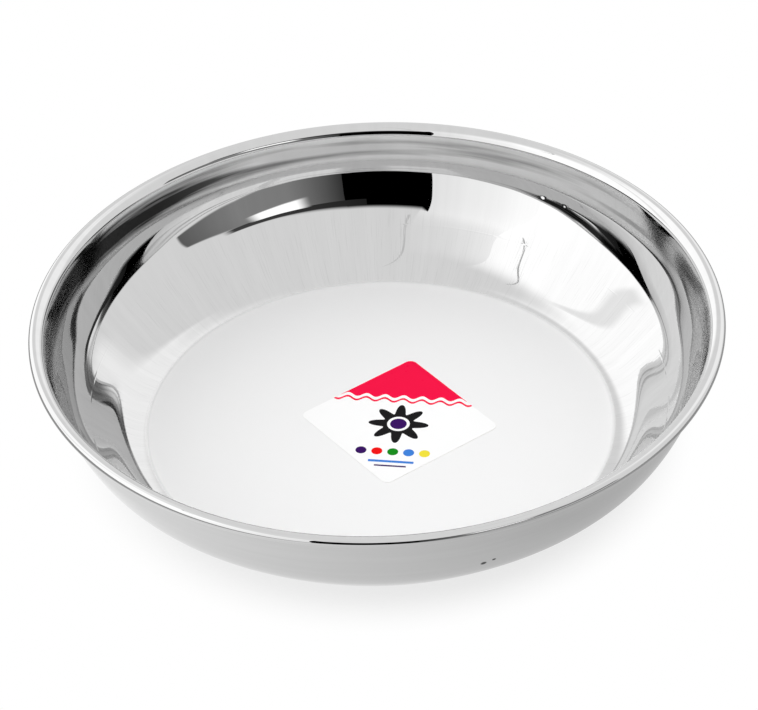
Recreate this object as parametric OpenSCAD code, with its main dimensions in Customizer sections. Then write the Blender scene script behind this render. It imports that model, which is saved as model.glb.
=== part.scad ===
// Round serving dish, pressed from one stainless steel sheet, with a hollow rolled rim
// and a square printed label stuck to its floor.
// Millimetres, +Z up, origin at the centre of the underside.

/* [Rim] */
// Diameter over the rolled rim
rim_d = 180; // [160:1:220]
// Height from the underside to the top of the rolled rim
plate_h = 36; // [32:0.5:60]
// Radius on which the lip turns outwards at the top of the rim
roll_round = 2.8; // [2:0.1:4]
// Diameter of the hollow bead into which the sheet's edge is rolled
bead_d = 2.6; // [2.2:0.1:3.6]
// How far the sheet is rolled from the top of the bead to its tucked edge, in degrees
bead_turn = 210; // [120:5:230]

/* [Sheet] */
// Thickness of the steel sheet
sheet_t = 0.5; // [0.3:0.05:0.8]

/* [Floor] */
// Diameter at which the floor and the flare would meet in a sharp corner
floor_d = 130.2; // [90:0.2:140]
// Inside radius of the bend between floor and flare
floor_round = 12.5; // [2:0.5:16]

/* [Wall] */
// Distance in from the rim at which the flare and the wall would meet in a sharp corner
bend_inset = 9.9; // [8:0.1:14]
// Height of that corner above the underside
bend_z = 14.5; // [10:0.1:18]
// Inside radius of the bend between flare and wall
bend_round = 16; // [4:0.5:18]
// Distance in from the rim at which the wall and the lip would meet in a sharp corner
lip_inset = 5.5; // [4.5:0.1:7]
// Depth of that corner below the top of the rim
lip_drop = 11.6; // [8:0.1:14]
// Inside radius of the bend between wall and lip
lip_round = 10; // [2:0.5:14]

/* [Label] */
// Side of the square label
label_w = 37.5; // [20:0.5:60]
// Radius of the label's corners
label_round = 2; // [1:0.5:6]
// Distance of the label's centre from the dish's centre, to the right
label_x = 5; // [-15:0.5:15]
// Turn of the label on the floor, in degrees
label_turn = 36; // [0:1:90]
// Thickness of the adhesive film
adhesive_t = 0.03; // [0.02:0.01:0.1]
// Thickness of the printed film
film_t = 0.08; // [0.05:0.01:0.2]

/* [Hidden] */
$fn = 128;

// Straight steps in each bend of the section and in the bead's curl
bend_steps = 8;
bead_steps = 24;

rim_r = rim_d / 2;
bead_r = bead_d / 2;

// Section of the dish as [radius, height] points: the rim's two centres and the corners of the inside face
bead_centre = [rim_r - bead_r, plate_h - bead_r];
roll_centre = [rim_r - bead_r, plate_h - roll_round];
floor_corner = [floor_d / 2, sheet_t];
bend_corner = [rim_r - bend_inset, bend_z];
lip_corner = [rim_r - lip_inset, plate_h - lip_drop];

// Slopes of the straight runs, in degrees from the horizontal; the lip runs at a tangent into the roll
flare_slope = heading(floor_corner, bend_corner);
wall_slope = heading(bend_corner, lip_corner);
lip_slope = heading(lip_corner, roll_centre) + asin(roll_round / norm(roll_centre - lip_corner));

// Each bend is [corner, slope before, slope after, inside radius]
floor_bend = [floor_corner, 0, flare_slope, floor_round];
wall_bend = [bend_corner, flare_slope, wall_slope, bend_round];
lip_bend = [lip_corner, wall_slope, lip_slope, lip_round];

function along(angle) = [cos(angle), sin(angle)];
function left_of(angle) = [-sin(angle), cos(angle)];
function heading(from, to) = atan2(to[1] - from[1], to[0] - from[0]);

// Where a bend's arc starts on the run before it, and the arc's centre
function setback(bend) = bend[3] * tan((bend[2] - bend[1]) / 2);
function arc_start(bend) = bend[0] - setback(bend) * along(bend[1]);
function arc_centre(bend) = arc_start(bend) + bend[3] * left_of(bend[1]);

// Points of an arc round a centre, from one angle to another
function arc_points(centre, radius, from, to, steps, first = 0) =
    [for (i = [first : steps]) centre + radius * along(from + (to - from) * i / steps)];
function bend_points(bend, shift) =
    arc_points(arc_centre(bend), bend[3] + shift, bend[1] - 90, bend[2] - 90, bend_steps);
function roll_points(shift) =
    arc_points(roll_centre, roll_round - shift, lip_slope + 90, 90, bend_steps);
function bead_points(shift) =
    arc_points(bead_centre, bead_r - shift, 90, 90 - bead_turn, bead_steps, first = 1);

// One face of the sheet, from the axis to the edge tucked under the bead: shift is its distance out from
// the inside face
function sheet_face(shift) = concat(
    [[0, sheet_t - shift]],
    bend_points(floor_bend, shift),
    bend_points(wall_bend, shift),
    bend_points(lip_bend, shift),
    roll_points(shift),
    bead_points(shift)
);
function reversed(points) = [for (i = [len(points) - 1 : -1 : 0]) points[i]];

module plate_body() {
    color("silver") rotate_extrude()
        polygon(concat(sheet_face(0), reversed(sheet_face(sheet_t))));
}

module rounded_square(side, corner_r) {
    core = side - 2 * corner_r;
    square([core, side], center = true);
    square([side, core], center = true);
    for (x = [-1, 1], y = [-1, 1])
        translate([x, y] * core / 2) circle(corner_r);
}

// One layer of the label, lying at a height above the floor
module label_layer(lift, thickness) {
    translate([label_x, 0, sheet_t + lift]) rotate(label_turn)
        linear_extrude(thickness) rounded_square(label_w, label_round);
}

module label_adhesive() {
    color("whitesmoke") label_layer(0, adhesive_t);
}

module label_film() {
    color("white") label_layer(adhesive_t, film_t);
}

plate_body();
label_adhesive();
label_film();
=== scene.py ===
"""Looks of a pressed stainless steel plate with a printed label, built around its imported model.

The file is laid out as a Blender add-on: property groups hold the sizes and colours, one operator makes
each piece, and one sets the stage. Lengths are in metres, unless a comment says millimetres.
"""

import math
from collections import namedtuple

import bpy
import numpy as np
from bpy.props import FloatProperty, FloatVectorProperty, IntProperty, PointerProperty
from mathutils import Matrix, Vector


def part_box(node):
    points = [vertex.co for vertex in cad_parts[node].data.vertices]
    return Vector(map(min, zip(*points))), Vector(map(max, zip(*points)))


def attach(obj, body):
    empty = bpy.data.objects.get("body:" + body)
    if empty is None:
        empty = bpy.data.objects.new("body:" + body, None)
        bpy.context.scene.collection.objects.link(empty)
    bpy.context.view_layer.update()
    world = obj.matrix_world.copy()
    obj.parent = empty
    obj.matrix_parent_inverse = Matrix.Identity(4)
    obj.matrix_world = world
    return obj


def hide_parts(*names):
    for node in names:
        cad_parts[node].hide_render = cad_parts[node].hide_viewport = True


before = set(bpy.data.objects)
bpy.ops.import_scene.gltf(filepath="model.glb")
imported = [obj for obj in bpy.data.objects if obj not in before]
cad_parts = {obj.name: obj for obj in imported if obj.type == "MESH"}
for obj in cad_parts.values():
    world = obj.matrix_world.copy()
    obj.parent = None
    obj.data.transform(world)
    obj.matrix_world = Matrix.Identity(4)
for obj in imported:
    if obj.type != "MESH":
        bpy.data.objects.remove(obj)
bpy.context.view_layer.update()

bl_info = {
    "name": "Pressed Steel Plate",
    "version": (1, 0, 0),
    "blender": (4, 5, 0),
    "location": "View3D > Sidebar > Plate",
    "description": "Builds a round pressed steel plate with a printed label, and its studio",
    "category": "Add Mesh",
}

MM = 0.001
IMAGE_W = 758
SENSOR_W = 36.0

DISH_LOW, DISH_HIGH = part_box("plate_body")
FILM_LOW, FILM_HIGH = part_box("label_film")
FILM_CENTRE = (FILM_LOW + FILM_HIGH) / 2


def linear(hex_colour):
    """Linear RGB of an sRGB hex colour such as #D0D1D2."""
    srgb = np.array([int(hex_colour[i : i + 2], 16) for i in (1, 3, 5)]) / 255
    return tuple(np.where(srgb <= 0.04045, srgb / 12.92, ((srgb + 0.055) / 1.055) ** 2.4).tolist())


def length(name, description, default_mm):
    """A length property whose default is given in millimetres."""
    return FloatProperty(
        name=name, description=description, default=default_mm * MM, unit="LENGTH", precision=5
    )


def colour(name, description, hex_colour):
    """A colour property whose default is an sRGB hex value."""
    return FloatVectorProperty(
        name=name, description=description, default=linear(hex_colour), subtype="COLOR", min=0, max=1
    )


def angle(name, description, degrees):
    """An angle property whose default is given in degrees."""
    return FloatProperty(name=name, description=description, default=math.radians(degrees), subtype="ANGLE")


def share(name, description, default, top=1.0):
    """A plain number property from 0 to a top value."""
    return FloatProperty(name=name, description=description, default=default, min=0, max=top)


class DishSizes(bpy.types.PropertyGroup):
    """Section of the pressed dish; the rim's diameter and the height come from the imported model."""

    rim_d: length("Rim diameter", "Diameter over the rolled rim", (DISH_HIGH.x - DISH_LOW.x) / MM)
    plate_h: length("Height", "From the underside to the top of the rim", DISH_HIGH.z / MM)
    roll_round: length("Roll radius", "Radius on which the lip turns outwards", 2.8)
    bead_d: length("Bead diameter", "Diameter of the hollow bead at the sheet's edge", 2.6)
    bead_turn: angle("Bead turn", "How far the sheet is rolled from the top of the bead", 210)
    sheet_t: length("Sheet thickness", "Thickness of the steel sheet", 0.5)
    floor_d: length("Floor diameter", "Where floor and flare would meet in a sharp corner", 130.2)
    floor_round: length("Floor bend", "Inside radius of the bend at the floor", 12.5)
    bend_inset: length("Wall bend inset", "Distance of the wall's lower corner in from the rim", 9.9)
    bend_z: length("Wall bend height", "Height of the wall's lower corner above the underside", 14.5)
    bend_round: length("Wall bend", "Inside radius of the bend between flare and wall", 16)
    lip_inset: length("Lip inset", "Distance of the lip's lower corner in from the rim", 5.5)
    lip_drop: length("Lip drop", "Depth of the lip's lower corner below the top of the rim", 11.6)
    lip_round: length("Lip bend", "Inside radius of the bend between wall and lip", 10)
    ease: length("Ease", "Length over which the bends flow into the straight runs", 5)
    turns: IntProperty(
        name="Steps round", description="Steps of the surface round the axis", default=360, min=48
    )


class SteelFinish(bpy.types.PropertyGroup):
    """Finish of the stainless steel."""

    steel: colour("Steel", "Colour that the polished sheet mirrors", "#D1D1D1")
    # Colour of the painted dark reflection streaked round the inside of the lip
    painted_lip_reflection: colour("Lip steel", "Colour of the streaks that the rolling leaves round the lip", "#262626")
    buffed: share("Buffed roughness", "Roughness of the mirror-buffed wall and rim", 0.015)
    lip_rough: share("Lip roughness", "Roughness that the rolling adds on the inside of the lip", 0.1)
    satin: share("Satin roughness", "Roughness of the satin floor", 0.85)
    satin_steel: colour("Satin steel", "Colour of the satin floor", "#FAFAFA")
    satin_d: length("Satin diameter", "Diameter of the satin floor", 123)
    # Colour of the small dark specks painted on the outside
    dark_speck: colour("Pit", "Colour of the small pits on the outside", "#141415")
    draw_line_d: length("Draw line", "Diameter of the line that the press leaves on the flare", 151.8)


class LabelPrint(bpy.types.PropertyGroup):
    """Turn and inks of the printed label."""

    turn: angle("Turn", "Turn of the label's upright on the floor", -9)
    film: colour("Film", "White of the film", "#FFFFFF")
    crimson: colour("Crimson", "Ink of the cap and the line under it", "#FA0445")
    charcoal: colour("Charcoal", "Ink of the star", "#121113")
    violet: colour("Violet", "Ink of the star's middle, a dot and a stripe", "#360260")
    red: colour("Red", "Ink of a dot", "#F50203")
    green: colour("Green", "Ink of a dot", "#068C10")
    blue: colour("Blue", "Ink of a dot and a stripe", "#3C82DC")
    yellow: colour("Yellow", "Ink of a dot", "#F3E23A")


class StudioSetup(bpy.types.PropertyGroup):
    """Camera, floor and light."""

    lens_px: FloatProperty(name="Focal length", description="In pixels of the image", default=3400)
    distance: length("Camera distance", "From the middle of the dish's floor", 900.8)
    elevation: angle("Elevation", "Camera above the horizon", 38.796)
    tilt: angle("Tilt", "How far the camera looks above the floor's middle", 1.118)
    pan: angle("Pan", "How far the camera looks past the floor's middle", 0.0205)
    roll: angle("Roll", "Turn of the camera about its line of sight", -2.183)
    board: colour("Board", "Colour of the pale floor", "#FDFDFD")
    board_lift: share("Board lift", "Share of plain white that the camera sees in the board by the dish", 0.7)
    mirror_lift: share("Mirror lift", "Share of a plain level in what the steel mirrors of the board", 0.85)
    # Levels of painted light on the board that only the steel mirrors: at its left, at its right, and the
    # painted shade beside it
    painted_light_left: share("Paper left", "That level at the left of the paper strip under the dish", 1.0)
    painted_light_right: share("Paper right", "That level at the right of the strip", 0.6)
    painted_shade_beside: share("Table", "That level on the table beside the strip", 0.3)
    sky: share("Sky", "Level of the white room", 1.0, 4.0)


def plate_settings():
    """The scene's settings, one property group for each subject."""
    scene = bpy.context.scene
    return scene.dish_sizes, scene.steel_finish, scene.label_print, scene.studio_setup


def new_object(name, points, faces):
    """A smooth mesh object at the origin, with its place in its points."""
    mesh = bpy.data.meshes.new(name)
    mesh.from_pydata(points, [], faces)
    mesh.shade_smooth()
    if mesh.validate():
        raise RuntimeError(f"{name} has broken faces")
    made = bpy.data.objects.new(name, mesh)
    bpy.context.scene.collection.objects.link(made)
    return made


def new_material(name):
    """An empty node material and its tree."""
    made = bpy.data.materials.new(name)
    made.use_nodes = True
    made.node_tree.nodes.clear()
    return made, made.node_tree


def add(tree, kind, inputs=None, **settings):
    """Adds a node with its settings. An input is a value, a socket, or a node whose first output is meant."""
    node = tree.nodes.new("ShaderNode" + kind)
    for name, value in settings.items():
        setattr(node, name, value)
    for key, value in (inputs or {}).items():
        source = value.outputs[0] if isinstance(value, bpy.types.Node) else value
        if isinstance(source, bpy.types.NodeSocket):
            tree.links.new(source, node.inputs[key])
        else:
            node.inputs[key].default_value = source
    return node


def opaque(rgb):
    """A colour with full alpha, for a colour socket."""
    return (*rgb, 1.0)


# Steps of length along the dish's section: in the bends, in the rim's curl, on the floor, while the bends are
# eased, and on the eased wall
BEND_STEP = 0.35 * MM
CURL_STEP = 0.2 * MM
FLOOR_STEP = 6.0 * MM
EASE_STEP = 0.1 * MM
WALL_STEP = 0.7 * MM


def along(heading):
    """Unit vector of a heading in the section's plane."""
    return np.array([math.cos(heading), math.sin(heading)])


def left_of(heading):
    """Unit vector at a right angle to a heading, on its left."""
    return np.array([-math.sin(heading), math.cos(heading)])


def heading(start, end):
    """Heading of the line from one point to another."""
    return math.atan2(end[1] - start[1], end[0] - start[0])


def arc(centre, radius, start, end, step):
    """Points of an arc: the centre plus the radius times the unit vector of each of the arc's angles."""
    count = max(2, math.ceil(abs(end - start) * radius / step))
    angles = np.linspace(start, end, count + 1)
    return centre + radius * np.stack([np.cos(angles), np.sin(angles)], axis=1)


def spaced(line, step):
    """Points at even steps of length along a line."""
    lengths = np.concatenate([[0], np.cumsum(np.linalg.norm(np.diff(line, axis=0), axis=1))])
    marks = np.linspace(0, lengths[-1], math.ceil(lengths[-1] / step) + 1)
    return np.stack([np.interp(marks, lengths, line[:, axis]) for axis in (0, 1)], axis=1)


def eased(line, reach):
    """A line whose bends flow into its runs.

    Each point is the mean of the line over the reach, taken three times over. Past its ends the line goes
    straight on, so that straight ends stay where they are.
    """
    points = spaced(line, EASE_STEP)
    even = np.ones(max(1, round(reach / EASE_STEP)))
    weights = np.convolve(np.convolve(even, even), even)
    before, after = (len(weights) - 1) // 2, len(weights) // 2
    points = np.concatenate([
        points[0] + np.arange(-before, 0)[:, None] * (points[1] - points[0]),
        points,
        points[-1] + np.arange(1, after + 1)[:, None] * (points[-1] - points[-2]),
    ])
    weights /= weights.sum()
    return np.stack([np.convolve(points[:, axis], weights, mode="valid") for axis in (0, 1)], axis=1)


def dish_section(s):
    """Closed section of the sheet as radius and height, from the axis over the inside to the rim and back.

    The inside face is a line of straight runs joined by tangent arcs, and it is eased from floor to lip. The
    outside face is the inside face moved out at right angles by the sheet's thickness. The sheet's edge is
    rounded off.
    """
    rim_r, bead_r = s.rim_d / 2, s.bead_d / 2
    bead_centre = np.array([rim_r - bead_r, s.plate_h - bead_r])
    roll_centre = np.array([rim_r - bead_r, s.plate_h - s.roll_round])
    corners = [
        np.array([s.floor_d / 2, s.sheet_t]),
        np.array([rim_r - s.bend_inset, s.bend_z]),
        np.array([rim_r - s.lip_inset, s.plate_h - s.lip_drop]),
    ]
    roll_reach = np.linalg.norm(roll_centre - corners[2])
    slopes = [
        0.0,
        heading(corners[0], corners[1]),
        heading(corners[1], corners[2]),
        heading(corners[2], roll_centre) + math.asin(s.roll_round / roll_reach),
    ]
    rounds = [s.floor_round, s.bend_round, s.lip_round]
    quarter = math.pi / 2
    edge_angle = quarter - s.bead_turn

    bends = []
    for corner, before, after, radius in zip(corners, slopes, slopes[1:], rounds):
        start = corner - radius * math.tan((after - before) / 2) * along(before)
        centre = start + radius * left_of(before)
        bends.append(arc(centre, radius, before - quarter, after - quarter, BEND_STEP))
    floor_end = bends[0][0] - [2 * s.ease, 0]
    roll_start = roll_centre + s.roll_round * left_of(slopes[3])
    wall = spaced(eased(np.concatenate([[floor_end], *bends, [roll_start]]), s.ease), WALL_STEP)
    drift = np.gradient(wall, axis=0)
    out = np.stack([drift[:, 1], -drift[:, 0]], axis=1) / np.linalg.norm(drift, axis=1, keepdims=True)
    floor_r = np.arange(0, floor_end[0] - FLOOR_STEP / 2, FLOOR_STEP)

    def face(shift):
        """One face of the sheet, shift away from the inside face."""
        floor = np.stack([floor_r, np.full_like(floor_r, s.sheet_t - shift)], axis=1)
        roll = arc(roll_centre, s.roll_round - shift, slopes[3] + quarter, quarter, CURL_STEP)
        curl = arc(bead_centre, bead_r - shift, quarter, edge_angle, CURL_STEP)
        return np.concatenate([floor, wall + shift * out, roll[1:], curl[1:]])

    edge_centre = bead_centre + (bead_r - s.sheet_t / 2) * along(edge_angle)
    edge = arc(edge_centre, s.sheet_t / 2, edge_angle, edge_angle - math.pi, CURL_STEP / 2)
    return np.concatenate([face(0.0), edge[1:-1], face(s.sheet_t)[::-1]])


def turned_surface(section, turns):
    """Points and faces of a closed section turned about the axis.

    A point is (radius cos t, radius sin t, height) for each step t round the axis. The section's first and
    last points lie on the axis, so each is one point with a fan of triangles.
    """
    steps = np.linspace(0, 2 * np.pi, turns, endpoint=False)
    radius, height = section[1:-1, 0], section[1:-1, 1]
    rings = np.stack(
        [
            np.outer(radius, np.cos(steps)),
            np.outer(radius, np.sin(steps)),
            np.broadcast_to(height[:, None], (len(height), turns)),
        ],
        axis=2,
    ).reshape(-1, 3)
    poles = np.array([[0, 0, section[0, 1]], [0, 0, section[-1, 1]]])
    here = np.arange(turns)
    after = (here + 1) % turns
    inner = np.arange(len(radius) - 1)[:, None] * turns
    outer = inner + turns
    quads = np.stack([inner + here, outer + here, outer + after, inner + after], axis=2).reshape(-1, 4)
    last = (len(radius) - 1) * turns
    top_pole, under_pole = len(rings), len(rings) + 1
    top = np.stack([np.full(turns, top_pole), here, after], axis=1)
    under = np.stack([np.full(turns, under_pole), last + after, last + here], axis=1)
    return np.concatenate([rings, poles]), quads.tolist() + top.tolist() + under.tolist()


# Hairlines of the buffing wheel: their width, length and depth, two slants with a shift for each, the radius
# on which the dish is unrolled for the noise, and the radii between which the hairlines fade out above the
# flare
HAIR_W, HAIR_L, HAIR_DEPTH = 0.3 * MM, 9 * MM, 0.0006 * MM
HAIR_SLANTS = ((math.radians(20), 0.0), (math.radians(-35), 3.0))
UNROLLED_R = 70 * MM
FLARE_TOP = (77 * MM, 80 * MM)

# Waves of the press, from crest to crest and in height, the draw line's width and depth, and a dent's depth
WAVE_L, WAVE_H = 18 * MM, 0.05 * MM
GROOVE_W, GROOVE_DEPTH = 0.36 * MM, 0.005 * MM
DENT_DEPTH = 0.035 * MM

# Marks as turn in degrees, radius, height and reach in millimetres: dents of use inside the wall's top, and
# small dark specks painted on the outside
Mark = namedtuple("Mark", "turn radius height reach")
DENTS = (Mark(55.4, 83.8, 23.0, 1.2), Mark(50.4, 83.7, 22.9, 1.3))
DARK_SPECKS = (Mark(-73.2, 82.3, 18.4, 0.9), Mark(-71.4, 82.7, 19.1, 0.6))

# Streaks: their width, and their length up the inside and round the dish
STREAK_W, STREAK_UP, STREAK_ROUND = 2.5 * MM, 45 * MM, 70 * MM

# Heights between which the rolled lip's painted reflection streaks and roughness set in above the wall, and
# end below the roll
LIP_FOOT = (24.5 * MM, 27 * MM)
LIP_TOP = (32 * MM, 33.5 * MM)

# Turn at which the lip's painted dark reflection is densest, and the angles from it between which it thins
# out
DARKEST_REFLECTION_TURN = math.radians(152)
DENSE_NEAR, DENSE_FAR = math.radians(15), math.radians(55)

# Widths over which the satin floor sets in, outside and inside its edge
SATIN_OUT, SATIN_IN = 0.9 * MM, 0.3 * MM


def away_from(tree, place, mark):
    """Distance of each point of the dish from a mark."""
    turn = math.radians(mark.turn)
    middle = (mark.radius * MM * math.cos(turn), mark.radius * MM * math.sin(turn), mark.height * MM)
    return add(tree, "VectorMath", {0: place, 1: middle}, operation="DISTANCE").outputs["Value"]


def buffing_hairlines(tree, place, radius):
    """Where the buffing wheel left hairlines on the flare: long thin noise on slants of the unrolled dish.

    The real hairlines are finer. They are drawn coarser so that they show.
    """
    hair_from, hair_full = 0.62, 0.72
    axes = add(tree, "SeparateXYZ", {0: place}).outputs
    turn = add(tree, "Math", {0: axes["Y"], 1: axes["X"]}, operation="ARCTAN2")
    arc_length = add(tree, "Math", {0: turn, 1: UNROLLED_R}, operation="MULTIPLY")
    unrolled = add(tree, "CombineXYZ", {0: arc_length, 1: radius})
    on_flare = add(tree, "MapRange", {"Value": radius, "From Min": FLARE_TOP[1], "From Max": FLARE_TOP[0]})
    hairs = 0.0
    for slant, shift in HAIR_SLANTS:
        slanted = add(
            tree,
            "Mapping",
            {"Vector": unrolled, "Location": (shift, 0, 0), "Rotation": (0, 0, slant),
             "Scale": (1 / HAIR_W, 1 / HAIR_L, 0)},
        )
        noise = add(tree, "TexNoise", {"Vector": slanted, "Scale": 1.0, "Detail": 1.0})
        hair = add(tree, "MapRange", {"Value": noise, "From Min": hair_from, "From Max": hair_full})
        hairs = add(tree, "Math", {0: hair, 1: hairs}, operation="MAXIMUM")
    return add(tree, "Math", {0: hairs, 1: on_flare}, operation="MULTIPLY")


def pressed_relief(tree, place, radius, hairline, line_r):
    """Bump of the sheet: the press's waves, with smaller ones on them, the draw line, hairlines and dents."""
    waves = add(tree, "TexNoise", {"Vector": place, "Scale": 1 / WAVE_L, "Detail": 2.0, "Roughness": 0.35})
    from_line = add(tree, "Math", {0: radius, 1: line_r}, operation="SUBTRACT")
    line_gap = add(tree, "Math", {0: from_line}, operation="ABSOLUTE")
    groove = add(
        tree, "MapRange",
        {"Value": line_gap, "From Max": GROOVE_W / 2, "To Min": -GROOVE_DEPTH, "To Max": 0.0},
    )
    relief = add(tree, "Math", {0: waves, 1: WAVE_H, 2: groove}, operation="MULTIPLY_ADD")
    relief = add(tree, "Math", {0: hairline, 1: -HAIR_DEPTH, 2: relief}, operation="MULTIPLY_ADD")
    for mark in DENTS:
        dent = add(
            tree, "MapRange",
            {"Value": away_from(tree, place, mark), "From Max": mark.reach * MM,
             "To Min": -DENT_DEPTH, "To Max": 0.0},
            interpolation_type="SMOOTHSTEP",
        )
        relief = add(tree, "Math", {0: relief, 1: dent}, operation="ADD")
    return add(tree, "Bump", {"Strength": 1.0, "Distance": 1.0, "Height": relief})


def rolled_lip(tree, place, inside):
    """Where the inside of the rolled lip is, between the wall and the roll."""
    height = add(tree, "SeparateXYZ", {0: place}).outputs["Z"]
    over_wall = add(
        tree, "MapRange", {"Value": height, "From Min": LIP_FOOT[0], "From Max": LIP_FOOT[1]},
        interpolation_type="SMOOTHSTEP",
    )
    under_roll = add(
        tree, "MapRange", {"Value": height, "From Min": LIP_TOP[1], "From Max": LIP_TOP[0]},
        interpolation_type="SMOOTHSTEP",
    )
    lip = add(tree, "Math", {0: over_wall, 1: under_roll}, operation="MULTIPLY")
    return add(tree, "Math", {0: lip, 1: inside}, operation="MULTIPLY")


def lip_reflection_streaks(tree, bearing, level, lip):
    """Where painted dark reflection runs in streaks round the lip: the level noise past a limit, densest and
    darkest at one turn.
    """
    dark_from, dark_full = 0.52, 0.74
    denser_by, least_dark = 0.26, 0.6
    densest = (math.cos(DARKEST_REFLECTION_TURN), math.sin(DARKEST_REFLECTION_TURN), 0)
    near = add(tree, "VectorMath", {0: bearing, 1: densest}, operation="DOT_PRODUCT").outputs["Value"]
    dense = add(
        tree, "MapRange",
        {"Value": near, "From Min": math.cos(DENSE_FAR), "From Max": math.cos(DENSE_NEAR)},
        interpolation_type="SMOOTHSTEP",
    )
    streaks = add(tree, "Math", {0: dense, 1: denser_by, 2: level}, operation="MULTIPLY_ADD")
    streaks = add(tree, "MapRange", {"Value": streaks, "From Min": dark_from, "From Max": dark_full})
    strength = add(tree, "MapRange", {"Value": dense, "To Min": least_dark, "To Max": 1.0})
    for mask in (strength, lip):
        streaks = add(tree, "Math", {0: streaks, 1: mask}, operation="MULTIPLY")
    return streaks


def buffed_steel(finish):
    """Stainless steel sheet, deep drawn and then mirror buffed, with a satin floor.

    The wall and the rim mirror the room, with faint hairlines from the buffing wheel, a little waviness from
    the press, one thin draw line on the flare, and a painted dark reflection streaked round the inside of the
    lip. The floor is a fine satin that only glows. Two small dents are marks of use, and two small dark
    specks are painted on the outside.
    """
    hair_shade, hair_rough = 0.06, 0.05
    noise_low, noise_high = 0.3, 0.7
    darkest, lightest = 0.97, 1.015
    speck_core = 0.6
    material, tree = new_material("buffed_stainless_steel")
    coordinates = add(tree, "TexCoord").outputs
    place = coordinates["Object"]
    flat = add(tree, "VectorMath", {0: place, 1: (1, 1, 0)}, operation="MULTIPLY")
    radius = add(tree, "VectorMath", {0: flat}, operation="LENGTH").outputs["Value"]
    bearing = add(tree, "VectorMath", {0: flat}, operation="NORMALIZE")
    facing = add(tree, "VectorMath", {0: coordinates["Normal"], 1: flat}, operation="DOT_PRODUCT")
    inside = add(tree, "Math", {0: facing.outputs["Value"], 1: 0.0}, operation="LESS_THAN")
    satin_r = finish.satin_d / 2
    satin = add(
        tree, "MapRange",
        {"Value": radius, "From Min": satin_r + SATIN_OUT, "From Max": satin_r - SATIN_IN},
    )
    hairline = buffing_hairlines(tree, place, radius)
    bump = pressed_relief(tree, place, radius, hairline, finish.draw_line_d / 2)

    # Faint streaks up the inside, and long ones round the outside
    around = add(tree, "VectorMath", {0: bearing, "Scale": UNROLLED_R}, operation="SCALE")
    around = add(tree, "SeparateXYZ", {0: around}).outputs
    upright = add(tree, "CombineXYZ", {0: around["X"], 1: around["Y"], 2: radius})
    upright = add(
        tree, "Mapping", {"Vector": upright, "Scale": (1 / STREAK_W, 1 / STREAK_W, 1 / STREAK_UP)}
    )
    upright = add(tree, "TexNoise", {"Vector": upright, "Scale": 1.0, "Detail": 3.0})
    level = add(
        tree, "Mapping", {"Vector": place, "Scale": (1 / STREAK_ROUND, 1 / STREAK_ROUND, 1 / STREAK_W)}
    )
    level = add(tree, "TexNoise", {"Vector": level, "Scale": 1.0, "Detail": 3.0})
    streak = add(tree, "Mix", {0: inside, 2: level, 3: upright}, data_type="FLOAT")
    shade = add(
        tree, "MapRange",
        {"Value": streak, "From Min": noise_low, "From Max": noise_high,
         "To Min": darkest, "To Max": lightest},
    )
    shade = add(tree, "Math", {0: hairline, 1: -hair_shade, 2: shade}, operation="MULTIPLY_ADD")
    polished = add(tree, "VectorMath", {0: finish.steel, "Scale": shade.outputs[0]}, operation="SCALE")

    # The lip's painted dark reflection, the satin floor and the dark specks lie over the polished steel
    lip = rolled_lip(tree, place, inside)
    layers = [(lip_reflection_streaks(tree, bearing, level, lip), finish.painted_lip_reflection), (satin, finish.satin_steel)]
    # Small dark specks, painted in colour only
    for mark in DARK_SPECKS:
        reach = mark.reach * MM
        dark_speck = add(
            tree, "MapRange",
            {"Value": away_from(tree, place, mark), "From Min": reach, "From Max": speck_core * reach},
        )
        layers.append((dark_speck, finish.dark_speck))
    tint = polished
    for cover, coat in layers:
        tint = add(tree, "Mix", {0: cover, 6: tint, 7: opaque(coat)}, data_type="RGBA").outputs[2]

    rough = add(tree, "Math", {0: hairline, 1: hair_rough, 2: finish.buffed}, operation="MULTIPLY_ADD")
    rough = add(tree, "Math", {0: lip, 1: finish.lip_rough, 2: rough}, operation="MULTIPLY_ADD")
    rough = add(tree, "Mix", {0: satin, 2: rough, 3: finish.satin}, data_type="FLOAT")
    shader = add(
        tree,
        "BsdfPrincipled",
        {"Base Color": tint, "Metallic": 1.0, "Roughness": rough, "Normal": bump},
    )
    add(tree, "OutputMaterial", {0: shader})
    return material


# The print's sizes are in millimetres from the label's middle, with the diagonal upright. Cap and line: how
# far they sit above the middle, half the line's width, and the wave's pitch and swing
CAP_UP, LINE_UP, LINE_HALF = 10.0, 8.4, 0.4
CAP_WAVE, CAP_SWING = 5.0, 0.7

# Star: how far it sits below the middle, its points, its mean radius and the points' swing, and the radii of
# its ring and middle
STAR_DOWN, STAR_POINTS, STAR_R, STAR_SWING = 1.5, 8, 6.1, 1.9
RING_R, MIDDLE_R = 3.0, 2.2

# Dots: how far they sit below the middle, their pitch, their radius and how many there are
DOT_DOWN, DOT_PITCH, DOT_R, DOT_COUNT = 13.2, 4.2, 1.45, 5

# Stripes: how far each sits below the middle, half its width and half its length
BLUE_STRIPE = (17.2, 0.45, 6.0)
VIOLET_STRIPE = (19.0, 0.3, 4.2)

# Orange peel of the film, from crest to crest and in height
PEEL_L, PEEL_H = 1.2, 0.004


def printed_star(tree, across, up):
    """Distance from the star's middle, and where the star is: within a radius that swings to each point."""
    over_star = add(tree, "Math", {0: up, 1: STAR_DOWN}, operation="ADD")
    spot = add(tree, "CombineXYZ", {0: across, 1: over_star})
    radius = add(tree, "VectorMath", {0: spot}, operation="LENGTH").outputs["Value"]
    turn = add(tree, "Math", {0: over_star, 1: across}, operation="ARCTAN2")
    points = add(tree, "Math", {0: turn, 1: STAR_POINTS}, operation="MULTIPLY")
    reach = add(tree, "Math", {0: points}, operation="COSINE")
    edge = add(tree, "Math", {0: reach, 1: STAR_SWING, 2: STAR_R}, operation="MULTIPLY_ADD")
    return radius, add(tree, "Math", {0: radius, 1: edge}, operation="LESS_THAN")


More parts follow.
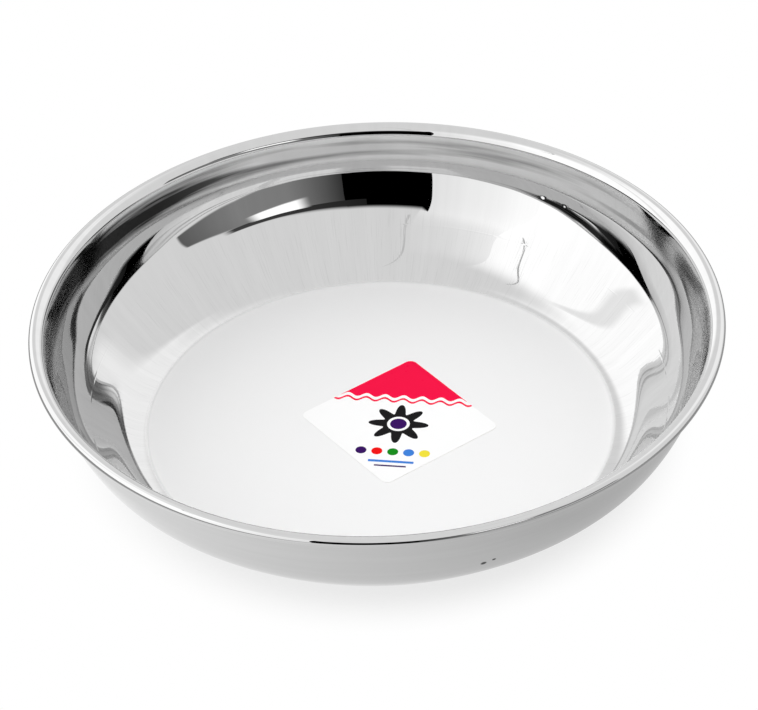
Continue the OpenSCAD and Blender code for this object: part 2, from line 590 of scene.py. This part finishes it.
def printed_dots(tree, across, up, colours):
    """Where the row of dots is, and the ink of each dot in turn."""
    count = add(tree, "Math", {0: across, 1: 1 / DOT_PITCH}, operation="MULTIPLY")
    which = add(tree, "Math", {0: count}, operation="ROUND")
    off_dot = add(tree, "Math", {0: which, 1: -DOT_PITCH, 2: across}, operation="MULTIPLY_ADD")
    over_row = add(tree, "Math", {0: up, 1: DOT_DOWN}, operation="ADD")
    spot = add(tree, "CombineXYZ", {0: off_dot, 1: over_row})
    radius = add(tree, "VectorMath", {0: spot}, operation="LENGTH").outputs["Value"]
    dot = add(tree, "Math", {0: radius, 1: DOT_R}, operation="LESS_THAN")
    in_row = add(tree, "Math", {0: which, 1: 0.0, 2: DOT_COUNT / 2}, operation="COMPARE")
    order = add(tree, "Math", {0: which, 1: 1 / DOT_COUNT, 2: 0.5}, operation="MULTIPLY_ADD")
    inks = add(tree, "ValToRGB", {0: order})
    stops = inks.color_ramp.elements
    inks.color_ramp.interpolation = "CONSTANT"
    for i, ink in enumerate(colours):
        stop = stops[0] if i == 0 else stops.new(i / DOT_COUNT)
        stop.color = opaque(ink)
    stops.remove(stops[-1])
    return add(tree, "Math", {0: dot, 1: in_row}, operation="MULTIPLY"), inks


def printed_film(print_):
    """Glossy printed film of a sticker: white plastic with flat inks that stay sharp at their edges.

    The print is worked out in millimetres from the label's middle, with its upright on the diagonal: a
    crimson cap with a waved edge and a line under it, a charcoal star, a row of dots and two stripes.
    """
    material, tree = new_material("printed_gloss_film")
    place = add(tree, "TexCoord").outputs["Object"]
    millimetres = add(
        tree,
        "Mapping",
        {"Vector": place, "Location": FILM_CENTRE, "Rotation": (0, 0, print_.turn), "Scale": (MM, MM, MM)},
        vector_type="TEXTURE",
    )
    axes = add(tree, "SeparateXYZ", {0: millimetres})
    across, up = axes.outputs["X"], axes.outputs["Y"]

    # Crimson cap with a waved edge, and a thin line that follows it
    phase = add(tree, "Math", {0: across, 1: 2 * math.pi / CAP_WAVE}, operation="MULTIPLY")
    swing = add(tree, "Math", {0: phase}, operation="COSINE")
    over_wave = add(tree, "Math", {0: swing, 1: -CAP_SWING, 2: up}, operation="MULTIPLY_ADD")
    cap = add(tree, "Math", {0: over_wave, 1: CAP_UP}, operation="GREATER_THAN")
    line = add(tree, "Math", {0: over_wave, 1: LINE_UP, 2: LINE_HALF}, operation="COMPARE")
    crimson = add(tree, "Math", {0: cap, 1: line}, operation="MAXIMUM")

    # Star with a white ring and a violet middle, a row of dots, and two stripes near the lower corner
    star_r, star = printed_star(tree, across, up)
    ring = add(tree, "Math", {0: star_r, 1: RING_R}, operation="LESS_THAN")
    middle = add(tree, "Math", {0: star_r, 1: MIDDLE_R}, operation="LESS_THAN")
    dot_inks = (print_.violet, print_.red, print_.green, print_.blue, print_.yellow)
    dots, inks = printed_dots(tree, across, up, dot_inks)
    layers = [
        (crimson, opaque(print_.crimson)),
        (star, opaque(print_.charcoal)),
        (ring, opaque(print_.film)),
        (middle, opaque(print_.violet)),
        (dots, inks),
    ]
    from_middle = add(tree, "Math", {0: across}, operation="ABSOLUTE")
    for (down, half_width, half_length), ink in ((BLUE_STRIPE, print_.blue), (VIOLET_STRIPE, print_.violet)):
        level = add(tree, "Math", {0: up, 1: -down, 2: half_width}, operation="COMPARE")
        inside = add(tree, "Math", {0: from_middle, 1: half_length}, operation="LESS_THAN")
        layers.append((add(tree, "Math", {0: level, 1: inside}, operation="MULTIPLY"), opaque(ink)))
    sheet = opaque(print_.film)
    for cover, ink in layers:
        sheet = add(tree, "Mix", {0: cover, 6: sheet, 7: ink}, data_type="RGBA").outputs[2]

    # Orange peel of the film
    peel = add(tree, "TexNoise", {"Vector": millimetres, "Scale": 1 / PEEL_L, "Detail": 1.0})
    peel_height = add(tree, "Math", {0: peel, 1: PEEL_H * MM}, operation="MULTIPLY")
    bump = add(tree, "Bump", {"Strength": 1.0, "Distance": 1.0, "Height": peel_height})
    rough = add(tree, "MapRange", {"Value": peel, "To Min": 0.24, "To Max": 0.36})
    shader = add(
        tree,
        "BsdfPrincipled",
        {"Base Color": sheet, "Roughness": rough, "IOR": 1.49, "Specular IOR Level": 0.05, "Normal": bump},
    )
    add(tree, "OutputMaterial", {0: shader})
    return material


def acrylic_adhesive():
    """Acrylic adhesive film: milky and soft, with small clouds, seen only as a thin edge under the label."""
    cloud_l = 0.8 * MM
    material, tree = new_material("acrylic_adhesive")
    place = add(tree, "TexCoord").outputs["Object"]
    cloud = add(tree, "TexNoise", {"Vector": place, "Scale": 1 / cloud_l, "Detail": 2.0})
    milk, cream = opaque(linear("#F2F0EA")), opaque(linear("#E4E1D8"))
    tint = add(tree, "Mix", {0: cloud, 6: cream, 7: milk}, data_type="RGBA").outputs[2]
    rough = add(tree, "MapRange", {"Value": cloud, "To Min": 0.45, "To Max": 0.6})
    shader = add(tree, "BsdfPrincipled", {"Base Color": tint, "Roughness": rough, "IOR": 1.47})
    add(tree, "OutputMaterial", {0: shader})
    return material


# A panel of the room: its azimuths, the elevations of its lower and upper edge at its left and right end, its
# levels on the left and on the right, the shares of its width and height over which its left, right, lower
# and upper edges fade, and its distance. Angles are in degrees.
RoomPanel = namedtuple("RoomPanel", "name azimuths lows highs levels fades distance")
ROOM = (
    RoomPanel("window", (-165, -60), (-4, -4), (66, 66), (1.5, 1.6), (0.1, 0, 0, 0.25), 2.6),
    RoomPanel("curtain", (-60, -20), (-4, -4), (64, 64), (1.55, 1.15), (0, 0, 0, 0.3), 2.6),
    RoomPanel("doorway", (-20, 10), (-4, -4), (46, 44), (0.0, 0.0), (0, 0, 0, 0.15), 2.6),
    RoomPanel("door_post", (-23.5, -20), (44, -4), (46, 46), (0.0, 0.0), (0, 0, 0, 0.15), 2.55),
    RoomPanel("dark_wall", (10, 29), (-4, 2), (44, 40), (0.05, 0.3), (0, 0, 0, 0.15), 2.6),
    RoomPanel("grey_wall", (29, 48), (2, 6), (40, 35), (0.3, 0.32), (0, 0, 0.06, 0.15), 2.6),
    RoomPanel("grey_corner", (48, 73), (6, 8), (35, 24), (0.32, 0.15), (0, 0.06, 0.06, 0.15), 2.6),
    RoomPanel("backdrop", (118, 176), (8, 8), (64, 64), (1.3, 1.3), (0.2, 0.2, 0.2, 0.3), 2.6),
    RoomPanel("dark_beam", (2, 60), (28.5, 30), (39, 35), (0.02, 0.08), (0, 0.1, 0, 0.2), 2.5),
    RoomPanel("boom", (-17.8, -16.2), (50, 50), (85, 85), (0.72, 0.72), (0.3, 0.3, 0.1, 0.1), 2.4),
    RoomPanel("stand", (-100, -68), (63.5, 45), (64.2, 45.7), (0.6, 0.6), (0, 0, 0, 0), 2.4),
    RoomPanel("post", (-118, -106), (12, 12), (58, 58), (1.22, 1.22), (0.35, 0.35, 0.25, 0.25), 2.5),
    RoomPanel("softbox", (22, 48), (17, 22), (31, 31), (1.7, 1.7), (0.25, 0.25, 0.15, 0.06), 2.4),
)

# Steps of a panel's mesh across and up
PANEL_STEPS = (48, 24)


def room_patch(panel):
    """Part of a sphere about the dish, with its outline as a UV map.

    A point is the distance times (sin a cos e, -cos a cos e, sin e): azimuth a is 0 behind the camera and
    grows to the right, and elevation e is 0 at the horizon.
    """
    across, up = (steps + 1 for steps in PANEL_STEPS)
    u, v = np.meshgrid(np.linspace(0, 1, across), np.linspace(0, 1, up))
    low, high = (ends[0] + (ends[1] - ends[0]) * u for ends in (panel.lows, panel.highs))
    a = np.radians(panel.azimuths[0] + (panel.azimuths[1] - panel.azimuths[0]) * u)
    e = np.radians(low + (high - low) * v)
    points = panel.distance * np.stack([np.sin(a) * np.cos(e), -np.cos(a) * np.cos(e), np.sin(e)], axis=2)
    corner = (np.arange(up - 1)[:, None] * across + np.arange(across - 1)).ravel()
    faces = np.stack([corner, corner + across, corner + across + 1, corner + 1], axis=1)
    made = new_object(panel.name, points.reshape(-1, 3), faces.tolist())
    uv = np.stack([u, v], axis=2).reshape(-1, 2)[faces.ravel()]
    made.data.uv_layers.new(name="outline").data.foreach_set("uv", uv.ravel())
    return made


def glowing_panel(panel):
    """Light of a panel, from its level on the left to its level on the right, with edges that fade out."""
    material, tree = new_material(panel.name)
    outline = add(tree, "UVMap", uv_map="outline")
    sides = add(tree, "SeparateXYZ", {0: outline})
    left, right = panel.levels
    level = add(tree, "MapRange", {"Value": sides.outputs["X"], "To Min": left, "To Max": right})
    cover = 1.0
    for axis, edge, fade in zip("XXYY", (0, 1, 0, 1), panel.fades):
        if fade:
            kept = add(
                tree,
                "MapRange",
                {"Value": sides.outputs[axis], "From Min": edge, "From Max": abs(edge - fade)},
                interpolation_type="SMOOTHSTEP",
            )
            cover = add(tree, "Math", {0: kept, 1: cover}, operation="MULTIPLY")
    glow = add(tree, "Emission", {"Color": (1, 1, 1, 1), "Strength": level})
    clear = add(tree, "BsdfTransparent")
    shader = add(tree, "MixShader", {0: cover, 1: clear, 2: glow})
    add(tree, "OutputMaterial", {0: shader})
    return material


# The board: half its side, how far it lies under the dish, the radii between which the camera's view of it
# goes over to plain white, the ends of the painted light's fall from left to right that the steel mirrors in
# it, and the edge where painted shade takes over at its sides
BOARD_HALF, BOARD_DROP = 3.0, 0.05 * MM
SHADOW_R = (67 * MM, 84 * MM)
PAINTED_LIGHT_X = (-75 * MM, 60 * MM)
PAINTED_LIGHT_EDGE = (90 * MM, 125 * MM)

# In a mirrored dish light bounces more often than the 4 times that Blender follows by default
MIRROR_BOUNCES = 12


def white_board(studio):
    """Matt white board that keeps the dish's shadow and shows in the steel a painted pool of light, brighter
    on its left, with painted shade at its sides.
    """
    material, tree = new_material("matt_white_board")
    matt = add(tree, "BsdfDiffuse", {"Color": opaque(studio.board)})
    place = add(tree, "TexCoord").outputs["Object"]
    radius = add(tree, "VectorMath", {0: place}, operation="LENGTH").outputs["Value"]
    across = add(tree, "SeparateXYZ", {0: place}).outputs["X"]
    sideways = add(tree, "Math", {0: across}, operation="ABSOLUTE")
    rays = add(tree, "LightPath").outputs
    mirrored = add(
        tree, "Math", {0: rays["Is Glossy Ray"], 1: rays["Is Transmission Ray"]}, operation="MAXIMUM"
    )

    # The camera sees the shadow under the overhang, and plain white from the rim outwards
    camera_lift = add(
        tree, "MapRange",
        {"Value": radius, "From Min": SHADOW_R[0], "From Max": SHADOW_R[1],
         "To Min": studio.board_lift, "To Max": 1.0},
        interpolation_type="SMOOTHSTEP",
    )
    mirror_lift = add(tree, "Math", {0: mirrored, 1: studio.mirror_lift}, operation="MULTIPLY")
    lift = add(
        tree, "Math", {0: rays["Is Camera Ray"], 1: camera_lift, 2: mirror_lift}, operation="MULTIPLY_ADD"
    )

    # The steel sees painted light on the board, brighter on its left, and painted shade beside it
    painted_light = add(
        tree, "MapRange",
        {"Value": across, "From Min": PAINTED_LIGHT_X[0], "From Max": PAINTED_LIGHT_X[1],
         "To Min": studio.painted_light_left, "To Max": studio.painted_light_right},
    )
    beside = add(
        tree, "MapRange", {"Value": sideways, "From Min": PAINTED_LIGHT_EDGE[0], "From Max": PAINTED_LIGHT_EDGE[1]},
        interpolation_type="SMOOTHSTEP",
    )
    seen = add(tree, "Mix", {0: beside, 2: painted_light, 3: studio.painted_shade_beside}, data_type="FLOAT")
    level = add(tree, "Mix", {0: mirrored, 2: 1.0, 3: seen}, data_type="FLOAT")
    white = add(tree, "Emission", {"Color": (1, 1, 1, 1), "Strength": level})
    shader = add(tree, "MixShader", {0: lift, 1: matt, 2: white})
    add(tree, "OutputMaterial", {0: shader})
    return material


def white_room(level):
    """World that lights the dish evenly from all sides."""
    world = bpy.data.worlds.new("white_room")
    world.use_nodes = True
    world.node_tree.nodes.clear()
    sky = add(world.node_tree, "Background", {"Color": (1, 1, 1, 1), "Strength": level})
    add(world.node_tree, "OutputWorld", {0: sky})
    return world


def aimed_camera(studio, floor_z):
    """Camera at its distance and elevation from the floor's middle, turned by tilt, pan and roll."""
    lens = bpy.data.cameras.new("camera")
    lens.sensor_width = SENSOR_W
    lens.lens = SENSOR_W * studio.lens_px / IMAGE_W
    camera = bpy.data.objects.new("camera", lens)
    bpy.context.scene.collection.objects.link(camera)
    away = Vector((0, -math.cos(studio.elevation), math.sin(studio.elevation)))
    look = (-away).to_track_quat("-Z", "Y").to_matrix()
    aim = Matrix.Rotation(studio.tilt, 3, "X") @ Matrix.Rotation(-studio.pan, 3, "Y")
    aim = aim @ Matrix.Rotation(studio.roll, 3, "Z")
    place = Vector((0, 0, floor_z)) + studio.distance * away
    camera.matrix_world = Matrix.LocRotScale(place, look @ aim, None)
    return camera


class PLATE_OT_dish(bpy.types.Operator):
    """Turns the dish's section into its steel shell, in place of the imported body"""

    bl_idname = "plate.dish"
    bl_label = "Dish"

    def execute(self, context):
        sizes, finish, _, _ = plate_settings()
        points, faces = turned_surface(dish_section(sizes), sizes.turns)
        dish = new_object("dish", points, faces)
        dish.data.materials.append(buffed_steel(finish))
        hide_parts("plate_body")
        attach(dish, "root")
        return {"FINISHED"}


class PLATE_OT_label(bpy.types.Operator):
    """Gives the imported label's film its print, and its adhesive a finish"""

    bl_idname = "plate.label"
    bl_label = "Label"

    def execute(self, context):
        print_ = plate_settings()[2]
        for node, material in (
            ("label_film", printed_film(print_)),
            ("label_adhesive", acrylic_adhesive()),
        ):
            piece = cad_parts[node]
            piece.data.materials.clear()
            piece.data.materials.append(material)
            # The steel doesn't mirror the label
            piece.visible_glossy = False
        return {"FINISHED"}


class PLATE_OT_stage(bpy.types.Operator):
    """Sets the pale board, the room's panels, the white room and the camera"""

    bl_idname = "plate.stage"
    bl_label = "Stage"

    def execute(self, context):
        sizes, _, _, studio = plate_settings()
        sides = np.array([[-1, -1], [1, -1], [1, 1], [-1, 1]]) * BOARD_HALF
        board = new_object("board", np.insert(sides, 2, -BOARD_DROP, axis=1), [[0, 1, 2, 3]])
        board.data.materials.append(white_board(studio))
        for panel in ROOM:
            screen = room_patch(panel)
            screen.data.materials.append(glowing_panel(panel))
            screen.visible_camera = False
        scene = context.scene
        scene.world = white_room(studio.sky)
        scene.camera = aimed_camera(studio, sizes.sheet_t)
        scene.view_settings.view_transform = "Standard"
        scene.cycles.glossy_bounces = MIRROR_BOUNCES
        return {"FINISHED"}


class PLATE_PT_sidebar(bpy.types.Panel):
    """Lists the plate's operators and settings"""

    bl_idname = "PLATE_PT_sidebar"
    bl_label = "Pressed Steel Plate"
    bl_space_type = "VIEW_3D"
    bl_region_type = "UI"
    bl_category = "Plate"

    def draw(self, context):
        for operator in OPERATORS:
            self.layout.operator(operator.bl_idname)
        for settings in plate_settings():
            box = self.layout.box()
            for name in settings.__annotations__:
                box.prop(settings, name)


GROUPS = {
    "dish_sizes": DishSizes,
    "steel_finish": SteelFinish,
    "label_print": LabelPrint,
    "studio_setup": StudioSetup,
}
OPERATORS = (PLATE_OT_dish, PLATE_OT_label, PLATE_OT_stage)
CLASSES = (*GROUPS.values(), *OPERATORS, PLATE_PT_sidebar)


def register():
    """Registers the classes and hangs the settings on the scene."""
    for cls in CLASSES:
        bpy.utils.register_class(cls)
    for name, group in GROUPS.items():
        setattr(bpy.types.Scene, name, PointerProperty(type=group))


def unregister():
    """Takes the settings and the classes away again."""
    for name in GROUPS:
        delattr(bpy.types.Scene, name)
    for cls in reversed(CLASSES):
        bpy.utils.unregister_class(cls)


def main():
    """Builds the plate and its stage."""
    register()
    bpy.ops.plate.stage()
    bpy.ops.plate.dish()
    bpy.ops.plate.label()


if __name__ == "__main__":
    main()
